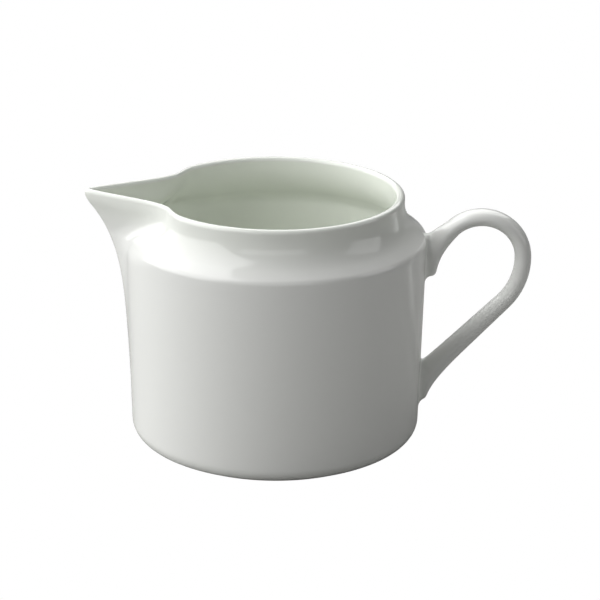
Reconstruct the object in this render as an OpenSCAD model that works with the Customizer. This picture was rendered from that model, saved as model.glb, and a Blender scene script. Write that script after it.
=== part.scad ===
// Porcelain cream jug: a round bellied mug shape with a ridge and a neck, a pouring beak
// and an ear-shaped strap handle. The jug stands on a thin foot ring. Z is up, the beak
// points along -X, the handle along +X, and the origin is the body's axis on the table.

/* [Body] */
// Greatest diameter of the body, at the ridge under the shoulder
ridge_d = 80; // [70:1:90]
// Diameter of the body at the base, before its corner is rounded
base_d = 77.6; // [72:0.2:80]
// Height of the rim above the table
jug_h = 68; // [66:0.5:72]
// Height of the ridge above the table
ridge_z = 55.3; // [50:0.1:56]
// Thickness of the body's wall
wall_t = 2.4; // [1.8:0.1:3.2]
// Thickness of the floor
floor_t = 3; // [2:0.5:4]
// Radius of the rounded corner at the base
base_round = 4; // [3:0.5:6]

/* [Shoulder and rim] */
// Outer diameter of the neck
neck_d = 67.8; // [62:0.2:70]
// Radius of the rounded ridge
ridge_round = 2.1; // [1.5:0.1:3]
// Steepness of the sloping shoulder, from the ridge's normal
slope_angle = 51; // [45:1:56]
// Length of the straight part of the shoulder
slope_len = 2.6; // [1:0.2:3]
// Thickness of the neck, which ends in a fully rounded lip
rim_t = 2.2; // [1.6:0.1:2.8]

/* [Foot ring] */
// Height of the foot ring
foot_h = 1; // [0.8:0.1:2]
// Outer diameter of the foot ring
foot_d = 68; // [60:1:69]
// Width of the flat that the jug stands on
foot_w = 2.4; // [1.5:0.1:4]

/* [Spout] */
// Distance from the body's axis to the tip of the beak
spout_reach = 50.6; // [46:0.2:54]
// Half of the angle between the beak's sides at the rim
spout_angle = 28.3; // [25:0.1:32]
// Half of the angle between its sides at the bottom of the keel
keel_angle = 56; // [48:1:60]
// Thickness of the beak's sides
spout_t = 1.9; // [1.5:0.1:2.4]
// Height at which the keel starts to leave the wall
keel_z = 14; // [12:1:20]
// How far the keel would lean out at the rim
keel_lean = 12.7; // [8:0.1:14]
// How far the neck is pinched in beside the beak
waist_pinch = 2.6; // [0:0.1:3]

/* [Handle] */
// Thickness of the strap
strap_t = 4.4; // [3.5:0.1:5.5]
// Width of the strap
strap_w = 7; // [5.5:0.1:9]
// Distance of the bend's centre from the body's axis
bend_x = 54.5; // [53:0.1:56]
// Height of the bend's centre
bend_z = 50.7; // [49:0.1:51]
// Radius of the bend, to the middle of the strap
bend_r = 11.1; // [10.5:0.1:12.5]
// Radius of the gentler bend under it
lower_bend_r = 17.5; // [15:0.5:20]
// Slope of the straight lower arm
arm_angle = 47.3; // [45:0.1:49]
// Width of the fillet of slip round each end of the handle
slip_w = 1.6; // [1:0.1:2]

/* [Hidden] */
$fn = 96;
glaze = [0.93, 0.94, 0.92];
slip = [0.88, 0.89, 0.87];
bisque = [0.96, 0.93, 0.88];

// ---- shared curves --------------------------------------------------------------------
function lerp(a, b, t) = a + (b - a) * t;
function clamp(t) = min(1, max(0, t));
function ease(t) = (1 - cos(180 * clamp(t))) / 2;
function polar(r, a) = [r * cos(a), r * sin(a)];
function arc(centre, r, a0, a1, steps) =
    [for (i = [0 : steps]) centre + polar(r, lerp(a0, a1, i / steps))];
function bezier(p, t) =
    pow(1 - t, 3) * p[0] + 3 * pow(1 - t, 2) * t * p[1] + 3 * (1 - t) * t * t * p[2]
    + pow(t, 3) * p[3];
// The larger or the smaller of two lengths, rounded over a width of k where they cross
function soft_max(a, b, k) = max(a, b) + pow(max(0, k - abs(a - b)), 2) / (4 * k);
function soft_min(a, b, k) = -soft_max(-a, -b, k);

// ---- the body's profile ---------------------------------------------------------------
base_z = foot_h;
ridge_r = ridge_d / 2;
neck_r = neck_d / 2;
taper = atan((ridge_r - base_d / 2) / (ridge_z - base_z));
function wall_r(z) = base_d / 2 + (z - base_z) * tan(taper);

ridge_c = [ridge_r - ridge_round, ridge_z];
slope_0 = ridge_c + polar(ridge_round, slope_angle);
slope_1 = slope_0 + slope_len * [-sin(slope_angle), cos(slope_angle)];
cove_r = (slope_1[0] - neck_r) / (1 - cos(slope_angle));
cove_c = slope_1 + polar(cove_r, slope_angle);

lip_r = rim_t / 2;
lip_z = jug_h - lip_r;
floor_z = base_z + floor_t;
floor_round = 5;
corner_steps = 8;

// Outer radius of the round body at height z, from the tapered wall to the neck
function outer_r(z) =
    z <= ridge_c[1] ? wall_r(z)
    : z <= slope_0[1] ? ridge_c[0] + sqrt(max(0, pow(ridge_round, 2) - pow(z - ridge_c[1], 2)))
    : z <= slope_1[1] ? slope_0[0] - (z - slope_0[1]) * tan(slope_angle)
    : z <= cove_c[1] ? cove_c[0] - sqrt(pow(cove_r, 2) - pow(z - cove_c[1], 2))
    : neck_r;

// Inner radius of the shoulder: the same cove and slope, one neck's thickness further in
inner_cove_r = cove_r + rim_t;
inner_slope = cove_c - polar(inner_cove_r, slope_angle);
function shoulder_r(z) =
    z <= inner_slope[1] ? inner_slope[0] - (z - inner_slope[1]) * tan(slope_angle)
    : z <= cove_c[1] ? cove_c[0] - sqrt(pow(inner_cove_r, 2) - pow(z - cove_c[1], 2))
    : neck_r - rim_t;
shoulder_blend = 2.5;
function inner_r(z) = soft_min(wall_r(z) - wall_t, shoulder_r(z), shoulder_blend);

// Heights at which the two curved profiles need points
ridge_steps = 7;
cove_steps = 8;
outer_zs = concat(
    [for (i = [1 : ridge_steps]) ridge_c[1] + ridge_round * sin(slope_angle * i / ridge_steps)],
    [for (i = [0 : cove_steps]) cove_c[1] - cove_r * sin(slope_angle * (1 - i / cove_steps))],
    [lip_z]);
inner_steps = 14;
inner_curve_drop = 6;
inner_zs = concat(
    [for (i = [0 : inner_steps]) lerp(ridge_z - inner_curve_drop, cove_c[1], i / inner_steps)],
    [lip_z]);

// ---- body -----------------------------------------------------------------------------
function body_outline() =
    let (corner_x = wall_r(base_z + base_round) - base_round,
         bowl_x = inner_r(floor_z + floor_round) - floor_round)
    concat(
        [[0, base_z]],
        arc([corner_x, base_z + base_round], base_round, -90, -taper, corner_steps),
        [[ridge_r, ridge_z]],
        [for (z = outer_zs) [outer_r(z), z]],
        arc([neck_r - lip_r, lip_z], lip_r, 15, 165, 10),
        [for (i = [len(inner_zs) - 1 : -1 : 0]) [inner_r(inner_zs[i]), inner_zs[i]]],
        arc([bowl_x, floor_z + floor_round], floor_round, 0, -90, corner_steps),
        [[0, floor_z]]);

// Half width of the notch in the wall that takes the spout, at height z
notch_half = 3;
notch_top = 28;
function notch_y(z) = lerp(notch_half, notch_top, (z - keel_z) / (jug_h - keel_z));

module spout_notch() {
    over = jug_h + 2;
    // The notch runs from inside the bowl to well outside the wall
    from_x = -10;
    depth = 55;
    translate([from_x - depth, 0, 0])
        rotate([90, 0, 90])
            linear_extrude(depth)
                polygon([[-notch_half, keel_z], [notch_half, keel_z],
                         [notch_y(over), over], [-notch_y(over), over]]);
}

module body() {
    color(glaze)
        difference() {
            rotate_extrude() polygon(body_outline());
            spout_notch();
        }
}

// ---- spout ----------------------------------------------------------------------------
// Share of the way up the spout, from the bottom of its keel to the rim
function rise(z) = clamp((z - keel_z) / (jug_h - keel_z));
// The keel leaves the wall gently, then leans out fast below the tip
keel_gentle = 0.13;
keel_power = 5;
tip_blend = 1.5;
function keel_x(z) =
    let (s = rise(z), lean = keel_gentle * s + (1 - keel_gentle) * pow(s, keel_power))
    soft_min(wall_r(z) + keel_lean * lean, spout_reach, tip_blend);
function side_angle(z) = lerp(keel_angle, spout_angle, rise(z));
// The keel's edge is blunt at the bottom and sharper at the tip
edge_round_low = 2;
edge_round_top = 0.5;
function edge_round(z) = lerp(edge_round_low, edge_round_top, rise(z));
side_blend = 3;

// The neck seen from above, pinched in on both sides of the beak
pinch_start = 12;
function round_x(y, r, z) =
    sqrt(r * r - y * y)
    - waist_pinch * ease((z - ridge_z) / (lip_z - ridge_z))
        * (1 - ease((abs(y) - pinch_start) / (notch_y(z) - pinch_start)));

// A wall of radius r that swells to a keel at distance k_x, with straight sides beside it
function beak_x(y, r, z, k_x) =
    let (base = round_x(y, r, z),
         swell = k_x - round_x(0, r, z),
         gentle = 2 * sqrt(side_blend * max(0, swell)) - side_blend,
         top = swell >= side_blend ? swell : gentle,
         drop = (sqrt(y * y + pow(edge_round(z), 2)) - edge_round(z)) / tan(side_angle(z)))
    swell <= 0 ? base : soft_max(base, round_x(0, r, z) + top - drop, side_blend);
function spout_out(y, z) = beak_x(y, outer_r(z), z, keel_x(z));
function spout_in(y, z) = beak_x(y, inner_r(z), z, keel_x(z) - spout_t / sin(side_angle(z)));

spout_cols = 12;
spout_rows = 9;
lip_steps = 8;
// Heights of the rows of points, the same outside and inside
row_zs = concat(
    [for (i = [0 : spout_rows - 1]) lerp(keel_z, inner_zs[0], i / spout_rows)],
    [for (z = inner_zs) if (z < ridge_z) z],
    [ridge_z],
    outer_zs);

// Rows of points from the foot of the keel up the outside, over the lip, and down inside
function spout_point(u, side, z) =
    let (y = u * notch_y(z))
    [-(side == "out" ? spout_out(y, z) : spout_in(y, z)), y, z];
function lip_point(u, angle) =
    let (z = lip_z + lip_r * sin(angle), y = u * notch_y(z),
         a = spout_out(y, lip_z), b = spout_in(y, lip_z))
    [-((a + b) / 2 + (a - b) / 2 * cos(angle)), y, z];
// Columns crowd together at the keel
column_power = 1.7;
function spread(i) = let (t = i / spout_cols) sign(t) * pow(abs(t), column_power);

module spout() {
    us = [for (i = [-spout_cols : spout_cols]) spread(i)];
    top = len(row_zs) - 1;
    rows = concat(
        [for (z = row_zs) [for (u = us) spout_point(u, "out", z)]],
        [for (i = [1 : lip_steps - 1]) [for (u = us) lip_point(u, 180 * i / lip_steps)]],
        [for (i = [top : -1 : 0]) [for (u = us) spout_point(u, "in", row_zs[i])]]);
    m = len(us);
    n = len(rows);
    skin = [for (r = [0 : n - 1]) for (c = [0 : m - 2])
        let (a = r * m + c, b = ((r + 1) % n) * m + c)
        each [[a, a + 1, b + 1], [a, b + 1, b]]];
    // Each side is a strip from the outer edge to the inner one, up to the middle of the lip
    near_side = [for (r = [0 : (n - 3) / 2])
        let (a = r * m, b = a + m, c = (n - 1 - r) * m, d = c - m)
        each b == d ? [[a, b, c]] : [[a, b, d], [a, d, c]]];
    far_side = [for (f = near_side) [f[2] + m - 1, f[1] + m - 1, f[0] + m - 1]];
    color(glaze)
        polyhedron([for (row = rows) each row], concat(skin, near_side, far_side));
}

// ---- handle ---------------------------------------------------------------------------
// The strap's two edges, seen from the side, from the upper root round to the lower one.
// side is 1 for the outer edge and -1 for the inner edge.
bend_start = 133;
bend_end = 3;
arm_turn = arm_angle - 90;
lower_c = [bend_x, bend_z] + polar(bend_r - lower_bend_r, bend_end);
arm_0 = lower_c + polar(lower_bend_r, arm_turn);
arm_len = 18;
arm_dir = [-cos(arm_angle), -sin(arm_angle)];
function edge_on_bend(side, a) = [bend_x, bend_z] + polar(bend_r + side * strap_t / 2, a);
function edge_on_lower(side, a) = lower_c + polar(lower_bend_r + side * strap_t / 2, a);
// The arm thickens on its inner edge as it nears the lower root
arm_swell = 0.8;
function arm_half(side, t) = side * strap_t / 2 - (side < 0 ? arm_swell * t : 0);
function edge_on_arm(side, t) = arm_0 + polar(arm_half(side, t), arm_turn) + t * arm_len * arm_dir;

// Roots: where the strap's edges meet the wall, and how they swell into it
upper_top_z = 56.4;
upper_low_z = 45;
lower_top_z = 20.4;
lower_low_z = 9.2;
function on_wall(z) = [outer_r(z), z];
function straight(a, b) = [a, lerp(a, b, 0.3), lerp(a, b, 0.7), b];
upper_pull = [[45.4, 45.2], [39.7, 47.4]];
lower_pull = [43.3, 10.9];
lower_run = 2.03;
upper_outer = straight(on_wall(upper_top_z), edge_on_bend(1, bend_start));
upper_inner = [on_wall(upper_low_z), upper_pull[0], upper_pull[1], edge_on_bend(-1, bend_start)];
lower_outer = [edge_on_arm(1, 1), edge_on_arm(1, lower_run), lower_pull, on_wall(lower_low_z)];
lower_inner = straight(edge_on_arm(-1, 1), on_wall(lower_top_z));

root_steps = 8;
bend_steps = 16;
lower_steps = 4;
arm_steps = 4;
edges = concat(
    [for (i = [0 : root_steps - 1])
        let (t = i / root_steps)
        [bezier(upper_outer, t), bezier(upper_inner, t)]],
    [for (i = [0 : bend_steps - 1])
        let (a = lerp(bend_start, bend_end, i / bend_steps))
        [edge_on_bend(1, a), edge_on_bend(-1, a)]],
    [for (i = [0 : lower_steps - 1])
        let (a = lerp(bend_end, arm_turn, i / lower_steps))
        [edge_on_lower(1, a), edge_on_lower(-1, a)]],
    [for (i = [0 : arm_steps - 1])
        let (t = i / arm_steps)
        [edge_on_arm(1, t), edge_on_arm(-1, t)]],
    [for (i = [0 : root_steps])
        let (t = i / root_steps)
        [bezier(lower_outer, t), bezier(lower_inner, t)]]);

// One ring of the strap: an ellipse between its two edges. The first and last ring lie on
// the wall itself.
ring_points = 24;
function ring(i) =
    let (mid = (edges[i][0] + edges[i][1]) / 2,
         half = (edges[i][0] - edges[i][1]) / 2,
         is_end = i == 0 || i == len(edges) - 1)
    [for (k = [0 : ring_points - 1])
        let (a = 360 * k / ring_points,
             p = mid + half * cos(a),
             y = strap_w / 2 * sin(a))
        [is_end ? sqrt(pow(outer_r(p[1]), 2) - y * y) : p[0], y, p[1]]];
function middle(values) = (min(values) + max(values)) / 2;
function centre_of(points) = [for (k = [0 : 2]) middle([for (p = points) p[k]])];
function wall_centre(points) = let (c = centre_of(points)) [outer_r(c[2]), 0, c[2]];

module handle() {
    n = len(edges);
    rings = [for (i = [0 : n - 1]) ring(i)];
    m = ring_points;
    tube = [for (r = [0 : n - 2]) for (k = [0 : m - 1])
        let (a = r * m + k, b = r * m + (k + 1) % m)
        each [[a, a + m, b + m], [a, b + m, b]]];
    first = n * m;
    ends = [for (k = [0 : m - 1])
        let (last = (n - 1) * m)
        each [[first, k, (k + 1) % m], [first + 1, last + (k + 1) % m, last + k]]];
    points = concat([for (r = rings) each r], [wall_centre(rings[0]), wall_centre(rings[n - 1])]);
    color(glaze) polyhedron(points, concat(tube, ends));
}

// ---- joint slip -----------------------------------------------------------------------
// A concave fillet of slip: it runs along the wall and up the strap, round one root.
slip_steps = 4;
function foot_point(p, centre) =
    let (away = [p[1] - centre[1], p[2] - centre[2]],
         q = [p[1], p[2]] + slip_w * away / norm(away))
    [sqrt(pow(outer_r(q[1]), 2) - q[0] * q[0]), q[0], q[1]];

module joint_slip(on_wall_ring, on_strap_ring) {
    root = ring(on_wall_ring);
    strap = ring(on_strap_ring);
    centre = wall_centre(root);
    m = ring_points;
    n = slip_steps + 2;
    loops = [for (k = [0 : m - 1])
        let (foot = foot_point(root[k], centre), mid = root[k], top = strap[k])
        each concat(
            [for (i = [0 : slip_steps])
                let (t = i / slip_steps)
                (1 - t) * (1 - t) * foot + 2 * t * (1 - t) * mid + t * t * top],
            [mid])];
    side = on_wall_ring < on_strap_ring;
    faces = [for (k = [0 : m - 1]) for (i = [0 : n - 1])
        let (a = k * n + i, b = k * n + (i + 1) % n,
             c = ((k + 1) % m) * n + i, d = ((k + 1) % m) * n + (i + 1) % n)
        each side ? [[a, b, d], [a, d, c]] : [[a, d, b], [a, c, d]]];
    color(slip) polyhedron(loops, faces);
}

// How many rings along the strap the slip reaches
slip_rings = 2;
module upper_joint_slip() joint_slip(0, slip_rings);
module lower_joint_slip() joint_slip(len(edges) - 1, len(edges) - 1 - slip_rings);

// ---- foot ring ------------------------------------------------------------------------
module foot_ring() {
    outer = foot_d / 2;
    bevel = 0.4;
    color(bisque)
        rotate_extrude()
            polygon([[outer - foot_w, 0], [outer, 0], [outer + bevel, foot_h],
                     [outer - foot_w - bevel, foot_h]]);
}

body();
spout();
handle();
upper_joint_slip();
lower_joint_slip();
foot_ring();
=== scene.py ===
"""Porcelain cream jug: glazed body with its pouring beak, strap handle, slip fillets, foot ring."""

import logging
import math
from dataclasses import dataclass, field
from enum import Enum
from functools import cached_property

import bpy
import numpy as np
from mathutils import Matrix, Vector


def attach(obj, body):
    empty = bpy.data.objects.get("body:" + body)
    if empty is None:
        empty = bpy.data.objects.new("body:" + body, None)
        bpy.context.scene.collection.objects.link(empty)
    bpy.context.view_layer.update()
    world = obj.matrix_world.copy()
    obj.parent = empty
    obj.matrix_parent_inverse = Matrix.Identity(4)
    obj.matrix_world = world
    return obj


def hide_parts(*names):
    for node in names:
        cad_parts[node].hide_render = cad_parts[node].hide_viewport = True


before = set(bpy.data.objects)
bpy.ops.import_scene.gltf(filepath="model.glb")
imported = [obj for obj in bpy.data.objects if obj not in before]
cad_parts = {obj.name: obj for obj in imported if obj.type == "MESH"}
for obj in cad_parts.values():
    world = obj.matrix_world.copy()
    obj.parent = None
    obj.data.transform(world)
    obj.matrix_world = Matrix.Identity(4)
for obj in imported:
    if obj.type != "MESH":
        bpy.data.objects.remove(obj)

LOG = logging.getLogger("cream_jug")
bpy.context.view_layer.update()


# ---- colour and node helpers -----------------------------------------------------------
def linear(hex_colour: str) -> tuple[float, float, float, float]:
    """Turn an sRGB hex colour into linear red, green, blue and alpha.

    Args:
        hex_colour: six hex digits, with or without a leading hash.

    Returns:
        The four linear channels, with alpha at 1.
    """
    digits = hex_colour.lstrip("#")
    channels = []
    for i in (0, 2, 4):
        c = int(digits[i : i + 2], 16) / 255.0
        channels.append(c / 12.92 if c <= 0.04045 else ((c + 0.055) / 1.055) ** 2.4)
    return (channels[0], channels[1], channels[2], 1.0)


def add_node(
    tree: bpy.types.NodeTree,
    kind: str,
    settings: dict[str, object] | None = None,
    inputs: dict[str | int, object] | None = None,
) -> bpy.types.Node:
    """Add one node, set its properties, and fill or link its inputs.

    Args:
        tree: the node tree that takes the node.
        kind: Blender's name for the type of node.
        settings: values for the node's own properties.
        inputs: for each input socket, a constant or the output socket that feeds it.

    Returns:
        The new node.
    """
    node = tree.nodes.new(kind)
    for name, value in (settings or {}).items():
        setattr(node, name, value)
    for name, value in (inputs or {}).items():
        if isinstance(value, bpy.types.NodeSocket):
            tree.links.new(value, node.inputs[name])
        else:
            node.inputs[name].default_value = value
    return node


def blank_material(name: str) -> bpy.types.Material:
    """Make a material with an empty node tree."""
    material = bpy.data.materials.new(name)
    material.use_nodes = True
    material.node_tree.nodes.clear()
    return material


# ---- small maths -----------------------------------------------------------------------
def ease(t: np.ndarray | float) -> np.ndarray:
    """Go smoothly from 0 to 1 while t goes from 0 to 1."""
    return (1.0 - np.cos(np.pi * np.clip(t, 0.0, 1.0))) / 2.0


def soft_max(a: np.ndarray, b: np.ndarray, width: float) -> np.ndarray:
    """The larger of two lengths, rounded over a width where they cross."""
    return np.maximum(a, b) + np.maximum(0.0, width - np.abs(a - b)) ** 2 / (4.0 * width)


def soft_min(a: np.ndarray, b: np.ndarray, width: float) -> np.ndarray:
    """The smaller of two lengths, rounded over a width where they cross."""
    return -soft_max(-a, -b, width)


def polar(radius: float, degrees: float) -> np.ndarray:
    """A point at a radius and an angle from the origin."""
    a = math.radians(degrees)
    return np.array([radius * math.cos(a), radius * math.sin(a)])


def bezier(points: list[np.ndarray], t: np.ndarray) -> np.ndarray:
    """Points on a cubic curve.

    Args:
        points: the four control points.
        t: shares of the way along, from 0 to 1.

    Returns:
        One row for each share.
    """
    t = np.asarray(t)[:, None]
    p0, p1, p2, p3 = points
    return (
        (1 - t) ** 3 * p0 + 3 * (1 - t) ** 2 * t * p1 + 3 * (1 - t) * t**2 * p2 + t**3 * p3
    )


# ---- mesh helpers ----------------------------------------------------------------------
def mesh_object(name: str, vertices: np.ndarray, faces: list[tuple[int, ...]]) -> bpy.types.Object:
    """Make a smooth-shaded mesh object and link it to the scene.

    Args:
        name: the piece's name.
        vertices: one row of x, y, z for each vertex, in metres.
        faces: vertex numbers of each face, anticlockwise from outside.

    Returns:
        The new object.
    """
    mesh = bpy.data.meshes.new(name)
    mesh.from_pydata(vertices.tolist(), [], faces)
    mesh.validate()
    mesh.polygons.foreach_set("use_smooth", [True] * len(mesh.polygons))
    mesh.update()
    piece = bpy.data.objects.new(name, mesh)
    bpy.context.scene.collection.objects.link(piece)
    return piece


def grid_faces(rows: int, cols: int, closed_rows: bool = False) -> list[tuple[int, ...]]:
    """Quads of a grid whose columns close into a ring.

    Args:
        rows: how many rows of points.
        cols: how many points in each row.
        closed_rows: whether the last row joins the first.

    Returns:
        The faces, as vertex numbers.
    """
    faces = []
    for r in range(rows if closed_rows else rows - 1):
        below, above = r * cols, ((r + 1) % rows) * cols
        for c in range(cols):
            d = (c + 1) % cols
            faces.append((below + c, below + d, above + d, above + c))
    return faces


class Slot(Enum):
    """The record's material slots."""

    PORCELAIN = "glazed_porcelain"
    SLIP = "glazed_slip"
    BISQUE = "bisque_porcelain"


def finish_piece(
    piece: bpy.types.Object, nodes: tuple[str, ...], material: bpy.types.Material
) -> None:
    """Dress a piece, say which CAD nodes it stands for, and fix it to the jug.

    Args:
        piece: the finished mesh object.
        nodes: the CAD nodes that it replaces.
        material: its finish.
    """
    piece.data.materials.append(material)
    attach(piece, "root")
    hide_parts(*nodes)
    LOG.info("%s: %d faces, stands for %s", piece.name, len(piece.data.polygons), ", ".join(nodes))


# ---- finishes --------------------------------------------------------------------------
@dataclass(frozen=True)
class GlazedPorcelain:
    """Slip-cast hard-paste porcelain under a clear feldspar glaze, fired glossy.

    To the eye: a cool white body with a faint grey-green cast, which gets greener where the
    glaze has pooled, and mirror-like reflections that ripple very slightly.
    """

    name: str = "glazed_hard_paste_porcelain"
    body_colour: str = "#E9EAE7"
    pooled_colour: str = "#E5E9E0"
    ior: float = 1.5
    roughness: float = 0.05
    roughness_spread: float = 0.03
    # Spacing of the glaze's slow ripple and of its fine orange peel, in metres
    ripple_size: float = 0.011
    peel_size: float = 0.0012
    ripple_depth: float = 0.000008
    peel_depth: float = 0.0000004

    def build(self) -> bpy.types.Material:
        """Make the material.

        Returns:
            The finished material.
        """
        material = blank_material(self.name)
        tree = material.node_tree
        place = add_node(tree, "ShaderNodeTexCoord").outputs["Object"]
        ripple = add_node(
            tree,
            "ShaderNodeTexNoise",
            {"noise_dimensions": "3D"},
            {"Vector": place, "Scale": 1.0 / self.ripple_size, "Detail": 1.0, "Roughness": 0.4},
        )
        peel = add_node(
            tree,
            "ShaderNodeTexNoise",
            {"noise_dimensions": "3D"},
            {"Vector": place, "Scale": 1.0 / self.peel_size, "Detail": 0.0, "Roughness": 0.3},
        )
        slow = add_node(
            tree,
            "ShaderNodeBump",
            None,
            {"Height": ripple.outputs["Fac"], "Distance": self.ripple_depth, "Strength": 1.0},
        )
        fine = add_node(
            tree,
            "ShaderNodeBump",
            None,
            {
                "Height": peel.outputs["Fac"],
                "Distance": self.peel_depth,
                "Strength": 1.0,
                "Normal": slow.outputs["Normal"],
            },
        )
        pooled = add_node(
            tree, "ShaderNodeAttribute", {"attribute_name": "glaze_depth"}
        ).outputs["Fac"]
        tint = add_node(
            tree,
            "ShaderNodeMix",
            {"data_type": "RGBA"},
            {"Factor": pooled, 6: linear(self.body_colour), 7: linear(self.pooled_colour)},
        )
        gloss = add_node(
            tree,
            "ShaderNodeMapRange",
            None,
            {
                "Value": ripple.outputs["Fac"],
                "To Min": self.roughness,
                "To Max": self.roughness + self.roughness_spread,
            },
        )
        shader = add_node(
            tree,
            "ShaderNodeBsdfPrincipled",
            None,
            {
                "Base Color": tint.outputs[2],
                "Roughness": gloss.outputs["Result"],
                "IOR": self.ior,
                "Normal": fine.outputs["Normal"],
            },
        )
        add_node(
            tree, "ShaderNodeOutputMaterial", None, {"Surface": shader.outputs["BSDF"]}
        )
        return material


@dataclass(frozen=True)
class GlazedSlip(GlazedPorcelain):
    """Joint slip, sponged smooth under the same clear glaze, which lies a little thicker."""

    name: str = "glazed_joint_slip"
    body_colour: str = "#E7E9E5"
    ripple_size: float = 0.004


@dataclass(frozen=True)
class BisquePorcelain:
    """Unglazed fired porcelain, wiped clean of glaze and ground flat so that it can stand.

    To the eye: matt, a warmer white than the glaze, with fine grit and grey rub marks.
    """

    name: str = "unglazed_bisque_porcelain"
    colour: str = "#EFE9DF"
    rubbed_colour: str = "#C9C3B8"
    roughness: float = 0.72
    ior: float = 1.5
    # Spacing of the grit and of the rub marks, in metres
    grit_size: float = 0.0003
    rub_size: float = 0.006
    grit_depth: float = 0.00003
    # Range of the noise over which rub marks appear, and how strong they get
    rub_range: tuple[float, float] = (0.55, 0.75)
    rub_strength: float = 0.5

    def build(self) -> bpy.types.Material:
        """Make the material.

        Returns:
            The finished material.
        """
        material = blank_material(self.name)
        tree = material.node_tree
        place = add_node(tree, "ShaderNodeTexCoord").outputs["Object"]
        grit = add_node(
            tree,
            "ShaderNodeTexNoise",
            None,
            {"Vector": place, "Scale": 1.0 / self.grit_size, "Detail": 3.0},
        )
        rub = add_node(
            tree,
            "ShaderNodeTexNoise",
            None,
            {"Vector": place, "Scale": 1.0 / self.rub_size, "Detail": 5.0, "Roughness": 0.7},
        )
        marks = add_node(
            tree,
            "ShaderNodeMapRange",
            None,
            {
                "Value": rub.outputs["Fac"],
                "From Min": self.rub_range[0],
                "From Max": self.rub_range[1],
                "To Max": self.rub_strength,
            },
        )
        tint = add_node(
            tree,
            "ShaderNodeMix",
            {"data_type": "RGBA"},
            {
                "Factor": marks.outputs["Result"],
                6: linear(self.colour),
                7: linear(self.rubbed_colour),
            },
        )
        bump = add_node(
            tree,
            "ShaderNodeBump",
            None,
            {"Height": grit.outputs["Fac"], "Distance": self.grit_depth},
        )
        shader = add_node(
            tree,
            "ShaderNodeBsdfPrincipled",
            None,
            {
                "Base Color": tint.outputs[2],
                "Roughness": self.roughness,
                "IOR": self.ior,
                "Normal": bump.outputs["Normal"],
            },
        )
        add_node(
            tree, "ShaderNodeOutputMaterial", None, {"Surface": shader.outputs["BSDF"]}
        )
        return material


# ---- the round outline -----------------------------------------------------------------
@dataclass(frozen=True)
class Outline:
    """The body's round profile: tapered wall, ridge, sloping shoulder, cove, neck and lip."""

    base_z: float = 0.001
    top_z: float = 0.068
    base_radius: float = 0.0388
    ridge_radius: float = 0.03999
    ridge_z: float = 0.0553
    ridge_round: float = 0.0021
    slope_angle: float = 51.0
    slope_length: float = 0.0026
    neck_radius: float = 0.0339
    rim_thickness: float = 0.0022
    wall_thickness: float = 0.0024
    floor_thickness: float = 0.003
    base_round: float = 0.004
    floor_round: float = 0.005
    shoulder_blend: float = 0.0025

    @cached_property
    def ridge_c(self) -> np.ndarray:
        """Centre of the ridge's rounding."""
        return np.array([self.ridge_radius - self.ridge_round, self.ridge_z])

    @cached_property
    def slope_0(self) -> np.ndarray:
        """Where the ridge turns into the straight slope."""
        return self.ridge_c + polar(self.ridge_round, self.slope_angle)

    @cached_property
    def slope_1(self) -> np.ndarray:
        """Where the straight slope turns into the cove."""
        a = math.radians(self.slope_angle)
        return self.slope_0 + self.slope_length * np.array([-math.sin(a), math.cos(a)])

    @cached_property
    def cove_r(self) -> float:
        """Radius of the cove under the neck."""
        lean = 1.0 - math.cos(math.radians(self.slope_angle))
        return float(self.slope_1[0] - self.neck_radius) / lean

    @cached_property
    def cove_c(self) -> np.ndarray:
        """Centre of the cove."""
        return self.slope_1 + polar(self.cove_r, self.slope_angle)

    @cached_property
    def inner_cove_r(self) -> float:
        """Radius of the same cove on the inside."""
        return self.cove_r + self.rim_thickness

    @cached_property
    def inner_slope(self) -> np.ndarray:
        """Where the slope turns into the cove on the inside."""
        return self.cove_c - polar(self.inner_cove_r, self.slope_angle)

    @property
    def lip_r(self) -> float:
        """Radius of the fully rounded lip."""
        return self.rim_thickness / 2

    @property
    def lip_z(self) -> float:
        """Height at which the lip begins to round over."""
        return self.top_z - self.lip_r

    @property
    def floor_z(self) -> float:
        """Height of the inside floor."""
        return self.base_z + self.floor_thickness

    def wall(self, z: np.ndarray) -> np.ndarray:
        """Radius of the tapered wall's outside at height z."""
        share = (z - self.base_z) / (self.ridge_z - self.base_z)
        return self.base_radius + share * (self.ridge_radius - self.base_radius)

    def outer(self, z: np.ndarray) -> np.ndarray:
        """Outer radius at height z, without the beak."""
        z = np.asarray(z, float)
        tan = math.tan(math.radians(self.slope_angle))
        return np.select(
            [
                z <= self.ridge_c[1],
                z <= self.slope_0[1],
                z <= self.slope_1[1],
                z <= self.cove_c[1],
            ],
            [
                self.wall(z),
                self.ridge_c[0]
                + np.sqrt(np.maximum(0, self.ridge_round**2 - (z - self.ridge_c[1]) ** 2)),
                self.slope_0[0] - (z - self.slope_0[1]) * tan,
                self.cove_c[0]
                - np.sqrt(np.maximum(0, self.cove_r**2 - (z - self.cove_c[1]) ** 2)),
            ],
            self.neck_radius,
        )

    def inner(self, z: np.ndarray) -> np.ndarray:
        """Inner radius at height z, without the beak."""
        z = np.asarray(z, float)
        tan = math.tan(math.radians(self.slope_angle))
        shoulder = np.select(
            [z <= self.inner_slope[1], z <= self.cove_c[1]],
            [
                self.inner_slope[0] - (z - self.inner_slope[1]) * tan,
                self.cove_c[0]
                - np.sqrt(np.maximum(0, self.inner_cove_r**2 - (z - self.cove_c[1]) ** 2)),
            ],
            self.neck_radius - self.rim_thickness,
        )
        return soft_min(self.wall(z) - self.wall_thickness, shoulder, self.shoulder_blend)


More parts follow.
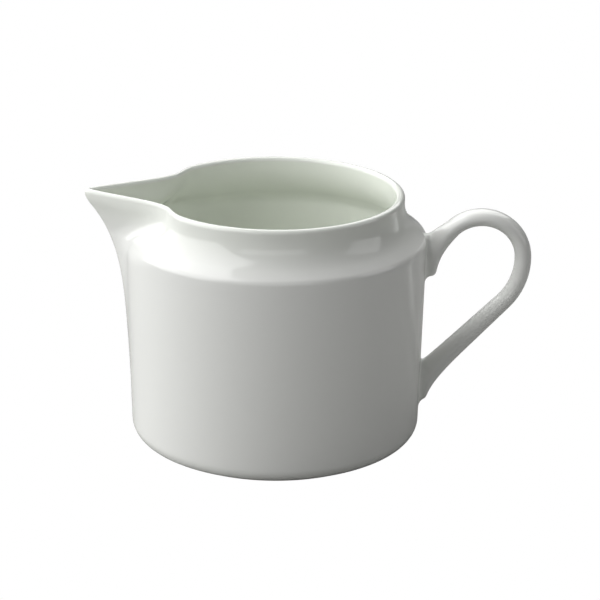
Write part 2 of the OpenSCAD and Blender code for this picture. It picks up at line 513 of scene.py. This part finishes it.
@dataclass(frozen=True)
class Beak:
    """The pouring beak: how the wall swells to a keel and ends in a pointed lip."""

    reach: float = 0.0506
    tip_angle: float = 28.3
    keel_angle: float = 56.0
    wall_thickness: float = 0.0019
    # Height at which the keel leaves the wall, and how far it would lean out at the rim: gently
    # for a small share of that, and fast below the tip for the rest
    keel_z: float = 0.014
    lean: float = 0.0127
    gentle_share: float = 0.13
    lean_power: float = 5.0
    tip_blend: float = 0.0015
    # How far the neck is pinched in on both sides, and how far out from the middle that starts
    pinch: float = 0.0026
    pinch_start: float = 0.012
    # Half of the beak's width at the bottom of the keel and at the rim
    notch_low: float = 0.003
    notch_top: float = 0.028
    # How softly the beak's sides run into the round wall
    side_blend: float = 0.0055
    # How much wider that blend is halfway up the keel, and where it has shrunk back
    belly_blend: float = 0.0055
    belly_end: float = 0.8
    # How far the ridge is smeared out beside the beak: in full up to one angle from the keel,
    # then less and less over a span of degrees
    melt_width: float = 0.006
    melt_full: float = 18.0
    melt_span: float = 27.0
    melt_samples: int = 15
    melt_falloff: float = 3.0
    # Rounding of the keel's edge, blunt at the bottom and sharper at the tip
    edge_round_low: float = 0.004
    edge_round_top: float = 0.0012
    # Thickness of the beak's wall at its lip
    lip_thickness: float = 0.0015
    # The beak's side dies away over this last share of its half width
    fade_share: float = 0.25
    # Angle from the keel beyond which the body is round again
    end_angle: float = 75.0
    # The surface is found by halving a range of radii this many times
    search_limit: float = 0.09
    search_steps: int = 44

    def rise(self, z: np.ndarray, top_z: float) -> np.ndarray:
        """Share of the way from the foot of the keel to the rim."""
        return np.clip((z - self.keel_z) / (top_z - self.keel_z), 0.0, 1.0)

    def melted(self, theta: np.ndarray, z: np.ndarray, outline: Outline) -> np.ndarray:
        """Outer radius of the round body, with the ridge melting away beside the beak.

        Args:
            theta: angles from the beak's own direction, in radians.
            z: a height for each angle.
            outline: the round body.

        Returns:
            The radius for each pair of angle and height.
        """
        faded = ease((np.degrees(theta) - self.melt_full) / self.melt_span)
        width = self.melt_width * (1 - faded)
        total = np.zeros_like(z, dtype=float)
        weights = 0.0
        for k in np.linspace(-1, 1, self.melt_samples):
            weight = math.exp(-self.melt_falloff * k * k)
            total = total + weight * outline.outer(z + k * width)
            weights += weight
        return np.minimum(total / weights, outline.ridge_radius)

    def radius(
        self, theta: np.ndarray, z: np.ndarray, outline: Outline, outside: bool
    ) -> np.ndarray:
        """Distance of the surface from the axis.

        Args:
            theta: angles from the beak's own direction, in radians.
            z: a height for each angle.
            outline: the round body that the beak grows from.
            outside: whether the outer or the inner surface is wanted.

        Returns:
            The radius for each pair of angle and height.
        """
        theta, z = np.broadcast_arrays(np.abs(theta), z)
        round_r = self.melted(theta, z, outline) if outside else outline.inner(z)
        s = self.rise(z, outline.top_z)
        side = np.radians(self.keel_angle + s * (self.tip_angle - self.keel_angle))
        lean = self.gentle_share * s + (1 - self.gentle_share) * s**self.lean_power
        keel = soft_min(outline.wall(z) + self.lean * lean, self.reach, self.tip_blend)
        if not outside:
            keel = keel - self.wall_thickness / np.sin(side)
        edge = self.edge_round_low + s * (self.edge_round_top - self.edge_round_low)
        notch = self.notch_low + s * (self.notch_top - self.notch_low)
        pinched = self.pinch * ease((z - outline.ridge_z) / (outline.lip_z - outline.ridge_z))
        low, high = np.zeros_like(round_r), np.full_like(round_r, self.search_limit)
        belly = np.sin(np.pi * np.minimum(1, s / self.belly_end))
        blend = self.side_blend + self.belly_blend * belly
        centre = round_r - pinched
        swell = keel - centre
        top = np.where(
            swell >= blend,
            swell,
            2 * np.sqrt(blend * np.maximum(0, swell)) - blend,
        )
        for _ in range(self.search_steps):
            r = (low + high) / 2
            y = r * np.sin(theta)
            base = np.sqrt(np.maximum(0, round_r**2 - y**2)) - pinched * (
                1 - ease((y - self.pinch_start) / (notch - self.pinch_start))
            )
            drop = (np.sqrt(y**2 + edge**2) - edge) / np.tan(side)
            swollen = soft_max(base, centre + top - drop, blend)
            fade = 1 - ease((y / notch - 1) / self.fade_share + 1)
            wall = np.where(swell <= 0, base, base + fade * (swollen - base))
            beyond = r * np.cos(theta) > wall
            high, low = np.where(beyond, r, high), np.where(beyond, low, r)
        return np.where(theta < math.radians(self.end_angle), (low + high) / 2, round_r)


@dataclass(frozen=True)
class GlazedVessel:
    """The body and its beak, cast and glazed as one skin: outside, lip, inside and floor."""

    outline: Outline
    beak: Beak
    # Columns crowd together towards the keel, up to this angle from it
    crowded_angle: float = 30.0
    crowding: float = 1.8
    # The beak's wall is even up to one angle from the keel, then turns into the round inside
    even_angle: float = 38.0
    even_blend: float = 20.0
    even_steps: int = 18
    # Height that parts the wall's coarse rows from its finer ones, and how far below the ridge
    # the inside's finer rows end
    fine_z: float = 0.040
    fine_drop: float = 0.009
    # Share of pooled glaze under the base, on its corner and on the neck
    base_pooling: float = 0.2
    corner_pooling: float = 0.1
    neck_pooling: float = 0.5

    def angles(self) -> np.ndarray:
        """Angles of the columns, closest together at the point of the beak."""
        near = math.radians(self.crowded_angle) * np.linspace(0, 1, 61) ** self.crowding
        far = np.radians(np.linspace(self.crowded_angle, 180, 76))[1:]
        half = np.concatenate([near, far])
        return np.concatenate([half, -half[-2:0:-1]])

    def inside(self, theta: np.ndarray, z: float) -> np.ndarray:
        """Inner radius: an even wall in the beak, and the round profile elsewhere.

        Args:
            theta: the angle of each column.
            z: one height.

        Returns:
            The radius for each column.
        """
        o = self.outline
        one = np.ones_like(theta)
        skin = self.beak.radius(theta, z * one, o, True)
        edge = np.stack([skin * np.cos(theta), skin * np.sin(theta)], axis=1)
        step = np.roll(edge, -1, axis=0) - edge
        length = np.maximum((step**2).sum(1), 1e-12)
        low, high = np.zeros_like(theta), skin.copy()
        thinned = ease((z - o.ridge_z) / (o.lip_z - o.ridge_z))
        thickness = self.beak.wall_thickness + thinned * (
            self.beak.lip_thickness - self.beak.wall_thickness
        )
        ray = np.stack([np.cos(theta), np.sin(theta)], axis=1)
        for _ in range(self.even_steps):
            r = (low + high) / 2
            to = (r[:, None] * ray)[:, None] - edge[None]
            t = np.clip((to * step[None]).sum(2) / length, 0, 1)
            apart = np.sqrt(((to - t[..., None] * step[None]) ** 2).sum(2).min(1))
            deep = apart >= thickness
            low, high = np.where(deep, r, low), np.where(deep, high, r)
        even = (low + high) / 2
        plain = self.beak.radius(theta, z * one, o, False)
        share = ease((np.degrees(np.abs(theta)) - self.even_angle) / self.even_blend)
        return even + share * (np.minimum(plain, even) - even)

    def rows(self, theta: np.ndarray) -> tuple[list[np.ndarray], list[np.ndarray], list[float]]:
        """Radius, height and glaze depth of every row, from under the foot to the inside floor.

        Args:
            theta: the angle of each column.

        Returns:
            The rows' radii, the rows' heights, and one share of pooled glaze for each row.
        """
        o, one = self.outline, np.ones_like(theta)
        radii: list[np.ndarray] = []
        heights: list[np.ndarray] = []
        depth: list[float] = []

        def put(r: np.ndarray | float, z: np.ndarray | float, pooled: float) -> None:
            """Add one row."""
            radii.append(r * one)
            heights.append(z * one)
            depth.append(pooled)

        corner_x = float(o.wall(o.base_z + o.base_round)) - o.base_round
        for share in (0.06, 0.25, 0.5, 0.75, 0.9, 1.0):
            put(share * corner_x, o.base_z, self.base_pooling)
        for a in np.radians(np.linspace(-90, 0, 11)[1:-1]):
            put(
                corner_x + o.base_round * math.cos(a),
                o.base_z + o.base_round * (1 + math.sin(a)),
                self.corner_pooling,
            )
        lows = np.linspace(o.base_z + o.base_round, self.fine_z, 28)
        highs = np.linspace(self.fine_z, o.ridge_z, 21)[1:]
        turn = np.radians(np.linspace(0, o.slope_angle, 9))[1:]
        ridge = o.ridge_z + o.ridge_round * np.sin(turn)
        slope = np.linspace(o.slope_0[1], o.slope_1[1], 5)[1:]
        turn = np.radians(np.linspace(o.slope_angle, 0, 17))[1:]
        cove = o.cove_c[1] - o.cove_r * np.sin(turn)
        neck = np.linspace(o.cove_c[1], o.lip_z, 4)[1:]
        for z in np.concatenate([lows, highs, ridge, slope, cove, neck]):
            pooled = self.neck_pooling * float(ease((z - o.ridge_z) / (o.cove_c[1] - o.ridge_z)))
            put(self.beak.radius(theta, z * one, o, True), z, pooled)
        outside = self.beak.radius(theta, o.lip_z * one, o, True)
        inside = self.inside(theta, o.lip_z)
        for a in np.radians(np.linspace(0, 180, 17)[1:-1]):
            put(
                (outside + inside) / 2 + (outside - inside) / 2 * math.cos(a),
                o.lip_z + o.lip_r * math.sin(a),
                self.neck_pooling,
            )
        floor_top = o.floor_z + o.floor_round
        down = np.concatenate(
            [
                np.linspace(o.lip_z, o.ridge_z, 24),
                np.linspace(o.ridge_z, o.ridge_z - self.fine_drop, 15)[1:],
                np.linspace(o.ridge_z - self.fine_drop, floor_top, 32)[1:],
            ]
        )
        for z in down:
            beaked = z > self.beak.keel_z
            put(self.inside(theta, z) if beaked else o.inner(z * one), z, 1.0)
        bowl_x = float(o.inner(floor_top)) - o.floor_round
        for a in np.radians(np.linspace(0, -90, 11)[1:]):
            put(
                bowl_x + o.floor_round * math.cos(a),
                floor_top + o.floor_round * math.sin(a),
                1.0,
            )
        for share in (0.9, 0.75, 0.5, 0.25, 0.06):
            put(share * bowl_x, o.floor_z, 1.0)
        return radii, heights, depth

    def build(self, material: bpy.types.Material) -> bpy.types.Object:
        """Make the skin, with the share of pooled glaze stored at its points.

        Args:
            material: the glaze.

        Returns:
            The finished piece.
        """
        theta = self.angles()
        radii, heights, depth = self.rows(theta)
        r, z = np.array(radii), np.array(heights)
        points = np.stack([-r * np.cos(theta), r * np.sin(theta), z], axis=2).reshape(-1, 3)
        rows, cols = r.shape
        faces = [face[::-1] for face in grid_faces(rows, cols)]
        low, high = len(points), len(points) + 1
        points = np.vstack([points, [0, 0, self.outline.base_z], [0, 0, self.outline.floor_z]])
        last = (rows - 1) * cols
        for c in range(cols):
            d = (c + 1) % cols
            faces.append((low, c, d))
            faces.append((high, last + d, last + c))
        piece = mesh_object("glazed_vessel", points, faces)
        pooled = piece.data.attributes.new("glaze_depth", "FLOAT", "POINT")
        shares = np.append(np.repeat(depth, cols), [self.base_pooling, 1.0])
        pooled.data.foreach_set("value", shares.astype(np.float32))
        finish_piece(piece, ("body", "spout"), material)
        return piece


# ---- handle ----------------------------------------------------------------------------
@dataclass(frozen=True)
class StrapHandle:
    """The ear-shaped strap handle, from its upper root on the shoulder to the lower one."""

    thickness: float = 0.0044
    width: float = 0.007
    bend_centre: tuple[float, float] = (0.0545, 0.0507)
    bend_radius: float = 0.01105
    bend_start: float = 133.0
    bend_end: float = 3.0
    lower_radius: float = 0.0175
    arm_angle: float = 47.3
    arm_length: float = 0.018
    upper_top_z: float = 0.0564
    upper_low_z: float = 0.0450
    lower_top_z: float = 0.0204
    lower_low_z: float = 0.0092
    # How much the arm thickens on its inner edge by its lower end
    arm_swell: float = 0.0008
    # Where the curves of the two roots are pulled to, in x and z, and how far the outer edge
    # of the lower root runs on along the arm, in lengths of the arm
    upper_pull: tuple[tuple[float, float], ...] = ((0.0454, 0.0452), (0.0397, 0.0474))
    lower_pull: tuple[float, float] = (0.0433, 0.0109)
    lower_run: float = 2.03
    # How far the ends reach into the wall, so that no gap shows
    sunk: float = 0.0004
    around: int = 48
    outline: Outline = field(default_factory=Outline)

    def on_wall(self, z: float) -> np.ndarray:
        """The point of the body's outer surface at height z, in the handle's plane."""
        return np.array([float(self.outline.outer(z)), z])

    def edges(self) -> tuple[np.ndarray, np.ndarray]:
        """The strap's outer and inner edge, seen from the side.

        Returns:
            The outer and the inner edge, one x and z for each station along the strap.
        """
        half = self.thickness / 2
        centre = np.array(self.bend_centre)
        turn = self.arm_angle - 90
        lower_c = centre + polar(self.bend_radius - self.lower_radius, self.bend_end)
        arm_0 = lower_c + polar(self.lower_radius, turn)
        along = -polar(1.0, self.arm_angle)

        def on_bend(side: int, a: float) -> np.ndarray:
            """A point of the bend's edge."""
            return centre + polar(self.bend_radius + side * half, a)

        def on_lower(side: int, a: float) -> np.ndarray:
            """A point of the lower bend's edge."""
            return lower_c + polar(self.lower_radius + side * half, a)

        def on_arm(side: int, t: float) -> np.ndarray:
            """A point of the straight arm's edge."""
            swell = self.arm_swell * t if side < 0 else 0.0
            return arm_0 + polar(side * half - swell, turn) + t * self.arm_length * along

        def straight(a: np.ndarray, b: np.ndarray) -> list[np.ndarray]:
            """Control points of a straight stretch."""
            return [a, a + 0.3 * (b - a), a + 0.7 * (b - a), b]

        start, end = self.bend_start, self.bend_end
        roots = np.linspace(0, 1, 25)
        upper = (
            bezier(straight(self.on_wall(self.upper_top_z), on_bend(1, start)), roots[:-1]),
            bezier(
                [
                    self.on_wall(self.upper_low_z),
                    np.array(self.upper_pull[0]),
                    np.array(self.upper_pull[1]),
                    on_bend(-1, start),
                ],
                roots[:-1],
            ),
        )
        lower = (
            bezier(
                [
                    on_arm(1, 1),
                    on_arm(1, self.lower_run),
                    np.array(self.lower_pull),
                    self.on_wall(self.lower_low_z),
                ],
                roots,
            ),
            bezier(straight(on_arm(-1, 1), self.on_wall(self.lower_top_z)), roots),
        )
        out = []
        for k, side in enumerate((1, -1)):
            bend = [on_bend(side, a) for a in np.linspace(start, end, 48, endpoint=False)]
            low = [on_lower(side, a) for a in np.linspace(end, turn, 20, endpoint=False)]
            arm = [on_arm(side, t) for t in np.linspace(0, 1, 14, endpoint=False)]
            out.append(np.vstack([upper[k], bend, low, arm, lower[k]]))
        return out[0], out[1]

    def rings(self) -> np.ndarray:
        """Points of every ring of the strap, from the upper root to the lower one."""
        outer, inner = self.edges()
        a = np.linspace(0, 2 * math.pi, self.around, endpoint=False)
        mid, half = (outer + inner) / 2, (outer - inner) / 2
        plane = mid[:, None] + half[:, None] * np.cos(a)[None, :, None]
        y = np.broadcast_to(self.width / 2 * np.sin(a), plane.shape[:2])
        points = np.stack([plane[..., 0], y, plane[..., 1]], axis=2)
        for end in (0, -1):
            z = points[end, :, 2]
            points[end, :, 0] = np.sqrt(self.outline.outer(z) ** 2 - points[end, :, 1] ** 2)
        return points

    def build(self, material: bpy.types.Material) -> bpy.types.Object:
        """Make the strap.

        Args:
            material: the glaze.

        Returns:
            The finished piece.
        """
        rings = self.rings()
        for end in (0, -1):
            sunk = rings[end].copy()
            sunk[:, 0] -= self.sunk
            rings = np.concatenate([sunk[None], rings] if end == 0 else [rings, sunk[None]])
        n, m = rings.shape[:2]
        faces = [face[::-1] for face in grid_faces(n, m)]
        points = rings.reshape(-1, 3)
        points = np.vstack([points, rings[0].mean(0), rings[-1].mean(0)])
        last = (n - 1) * m
        for k in range(m):
            j = (k + 1) % m
            faces.append((n * m, k, j))
            faces.append((n * m + 1, last + j, last + k))
        piece = mesh_object("strap_handle", points, faces)
        finish_piece(piece, ("handle",), material)
        return piece


@dataclass(frozen=True)
class JointFillet:
    """A fillet of slip, sponged into the corner between the strap's root and the wall."""

    name: str
    node: str
    handle: StrapHandle
    upper: bool
    # How far the slip spreads over the wall, how many rings up the strap it reaches, and in
    # how many steps it curves from the one to the other
    width: float = 0.0016
    reach: int = 6
    steps: int = 8

    def build(self, material: bpy.types.Material) -> bpy.types.Object:
        """Make the ring-shaped fillet.

        Args:
            material: the glazed slip.

        Returns:
            The finished piece.
        """
        rings = self.handle.rings() if self.upper else self.handle.rings()[::-1]
        root, strap = rings[0], rings[self.reach]
        loop = root[:, 1:]
        along = np.roll(loop, -1, axis=0) - np.roll(loop, 1, axis=0)
        out = np.stack([along[:, 1], -along[:, 0]], axis=1)
        out /= np.linalg.norm(out, axis=1)[:, None]
        if ((loop - loop.mean(0)) * out).sum() < 0:
            out = -out
        yz = loop + self.width * out
        outer = self.handle.outline.outer(yz[:, 1])
        foot = np.column_stack([np.sqrt(outer**2 - yz[:, 0] ** 2), yz])
        t = np.linspace(0, 1, self.steps + 1)[None, :, None]
        foot, corner, top = foot[:, None], root[:, None], strap[:, None]
        curve = (1 - t) ** 2 * foot + 2 * t * (1 - t) * corner + t**2 * top
        inward = root.copy()
        inward[:, 0] -= self.handle.sunk
        loops = np.concatenate([curve, inward[:, None]], axis=1)
        m, n = loops.shape[:2]
        faces = []
        for k in range(m):
            j = (k + 1) % m
            for i in range(n):
                h = (i + 1) % n
                face = (k * n + i, k * n + h, j * n + h, j * n + i)
                faces.append(face if self.upper else face[::-1])
        piece = mesh_object(self.name, loops.reshape(-1, 3), faces)
        crisp = piece.data.attributes.new("sharp_edge", "BOOLEAN", "EDGE")
        for edge in piece.data.edges:
            a, b = (v % n for v in edge.vertices)
            crisp.data[edge.index].value = a == b and a in (0, self.steps)
        finish_piece(piece, (self.node,), material)
        return piece


@dataclass(frozen=True)
class FootRing:
    """The thin unglazed ring that the jug stands on."""

    outer_radius: float = 0.034
    stand_width: float = 0.0024
    height: float = 0.001
    bevel: float = 0.0004
    edge_round: float = 0.0002
    columns: int = 192

    def section(self) -> np.ndarray:
        """Radius and height of the ring's section, anticlockwise."""
        out, into = self.outer_radius, self.outer_radius - self.stand_width
        e, h = self.edge_round, self.height
        return np.array(
            [
                (into + e, 0.0),
                (out - e, 0.0),
                (out - 0.3 * e, 0.15 * e),
                (out + 0.05 * e, 0.6 * e),
                (out + 0.5 * self.bevel, 0.5 * h),
                (out + self.bevel, h),
                (into - self.bevel, h),
                (into - 0.5 * self.bevel, 0.5 * h),
                (into - 0.05 * e, 0.6 * e),
                (into + 0.3 * e, 0.15 * e),
            ]
        )

    def build(self, material: bpy.types.Material) -> bpy.types.Object:
        """Make the ring.

        Args:
            material: the unglazed finish.

        Returns:
            The finished piece.
        """
        section = self.section()
        a = np.linspace(0, 2 * math.pi, self.columns, endpoint=False)
        r, z = section[:, 0][:, None], section[:, 1][:, None]
        points = np.stack([r * np.cos(a), r * np.sin(a), z + 0 * a], axis=2).reshape(-1, 3)
        faces = grid_faces(len(section), self.columns, closed_rows=True)
        piece = mesh_object("standing_foot_ring", points, faces)
        finish_piece(piece, ("foot_ring",), material)
        return piece


# ---- studio ----------------------------------------------------------------------------
@dataclass(frozen=True)
class Softbox:
    """A rectangular diffused lamp that points at a target."""

    name: str
    place: tuple[float, float, float]
    size: tuple[float, float]
    power: float
    target: tuple[float, float, float] = (0.0, 0.0, 0.035)

    def build(self) -> None:
        """Hang the lamp."""
        lamp = bpy.data.lights.new(self.name, "AREA")
        lamp.shape = "RECTANGLE"
        lamp.size, lamp.size_y = self.size
        lamp.energy = self.power
        holder = bpy.data.objects.new(self.name, lamp)
        aim = (Vector(self.target) - Vector(self.place)).to_track_quat("-Z", "Y")
        holder.matrix_world = Matrix.Translation(self.place) @ aim.to_matrix().to_4x4()
        bpy.context.scene.collection.objects.link(holder)


@dataclass(frozen=True)
class Studio:
    """A white table in a dark room, a sheet that throws light back, softboxes, the camera."""

    # Brightness of the room above and below the horizon, and how softly one turns into the other
    room_above: float = 0.0
    room_below: float = 0.2
    horizon_blend: float = 0.02
    # Grey sheet under the jug, which lights the jug but is not seen
    bounce_size: float = 0.5
    bounce_colour: str = "#949492"
    table_light: float = 1.0
    table_size: float = 6.0
    # How far the table lies under the foot ring's face, so that the two never coincide
    table_drop: float = 0.0001
    lamps: tuple[Softbox, ...] = (
        Softbox("key_softbox", (-0.72, -0.09, 0.56), (1.5, 1.25), 15.3),
        Softbox("back_softbox", (-0.112, 0.795, 0.927), (2.0, 1.1), 15.0),
        Softbox("front_fill", (0.0, -1.5, 0.6), (1.6, 0.5), 2.7),
        Softbox("right_fill", (1.3, -0.1, 0.5), (0.8, 0.8), 2.8),
    )
    camera_place: tuple[float, float, float] = (0.018627, -0.534039, 0.231742)
    camera_forward: tuple[float, float, float] = (-0.02132, 0.93964, -0.34149)
    camera_roll: float = 0.532
    lens: float = 127.24

    def build_table(self) -> None:
        """Lay the plain white floor that is seen, and the grey sheet that lights the jug."""
        material = blank_material("white_table_paper")
        tree = material.node_tree
        glow = add_node(
            tree,
            "ShaderNodeEmission",
            None,
            {"Color": linear("#FFFFFF"), "Strength": self.table_light},
        )
        add_node(tree, "ShaderNodeOutputMaterial", None, {"Surface": glow.outputs["Emission"]})
        h = self.table_size / 2
        corners = np.array([(-h, -h, 0), (h, -h, 0), (h, h, 0), (-h, h, 0)], float)
        drop = np.array([0, 0, self.table_drop])
        table = mesh_object("white_table", corners - drop, [(0, 1, 2, 3)])
        table.data.materials.append(material)
        table.visible_diffuse = table.visible_glossy = table.visible_shadow = False
        paper = blank_material("grey_bounce_paper")
        matt = add_node(
            paper.node_tree, "ShaderNodeBsdfDiffuse", None, {"Color": linear(self.bounce_colour)}
        )
        add_node(
            paper.node_tree, "ShaderNodeOutputMaterial", None, {"Surface": matt.outputs["BSDF"]}
        )
        share = self.bounce_size / self.table_size
        bounce = mesh_object("bounce_paper", corners * share - drop, [(0, 1, 2, 3)])
        bounce.data.materials.append(paper)
        bounce.visible_camera = False

    def build_world(self) -> None:
        """Keep the room dark, but for what the far table throws back."""
        world = bpy.data.worlds.new("white_room")
        world.use_nodes = True
        tree = world.node_tree
        tree.nodes.clear()
        heading = add_node(
            tree,
            "ShaderNodeSeparateXYZ",
            None,
            {"Vector": add_node(tree, "ShaderNodeTexCoord").outputs["Generated"]},
        )
        strength = add_node(
            tree,
            "ShaderNodeMapRange",
            None,
            {
                "Value": heading.outputs["Z"],
                "From Min": -self.horizon_blend,
                "From Max": self.horizon_blend,
                "To Min": self.room_below,
                "To Max": self.room_above,
            },
        )
        glow = add_node(
            tree,
            "ShaderNodeBackground",
            None,
            {"Color": linear("#FFFFFF"), "Strength": strength.outputs["Result"]},
        )
        add_node(tree, "ShaderNodeOutputWorld", None, {"Surface": glow.outputs["Background"]})
        bpy.context.scene.world = world

    def build_camera(self) -> None:
        """Place the camera, with its slight roll."""
        forward = Vector(self.camera_forward).normalized()
        right = forward.cross(Vector((0, 0, 1))).normalized()
        up = right.cross(forward)
        roll = math.radians(self.camera_roll)
        right_rolled = right * math.cos(roll) + up * math.sin(roll)
        up_rolled = right_rolled.cross(forward)
        turn = Matrix((right_rolled, up_rolled, -forward)).transposed().to_4x4()
        data = bpy.data.cameras.new("jug_camera")
        data.lens, data.sensor_width = self.lens, 36.0
        data.clip_start, data.clip_end = 0.01, 50.0
        camera = bpy.data.objects.new("jug_camera", data)
        camera.matrix_world = Matrix.Translation(self.camera_place) @ turn
        bpy.context.scene.collection.objects.link(camera)
        bpy.context.scene.camera = camera

    def build(self) -> None:
        """Set up table, room, lamps and camera."""
        self.build_table()
        self.build_world()
        for lamp in self.lamps:
            lamp.build()
        self.build_camera()
        view = bpy.context.scene.view_settings
        view.view_transform, view.look = "Standard", "None"
        view.exposure, view.gamma = 0.0, 1.0


def main() -> None:
    """Build the jug piece by piece, then the studio."""
    logging.basicConfig(level=logging.INFO, format="%(name)s: %(message)s")
    porcelain = GlazedPorcelain().build()
    slip = GlazedSlip().build()
    bisque = BisquePorcelain().build()
    outline = Outline()
    GlazedVessel(outline, Beak()).build(porcelain)
    handle = StrapHandle(outline=outline)
    handle.build(porcelain)
    JointFillet("upper_fillet", "upper_joint_slip", handle, True).build(slip)
    JointFillet("lower_fillet", "lower_joint_slip", handle, False).build(slip)
    FootRing().build(bisque)
    Studio().build()


if __name__ == "__main__":
    main()
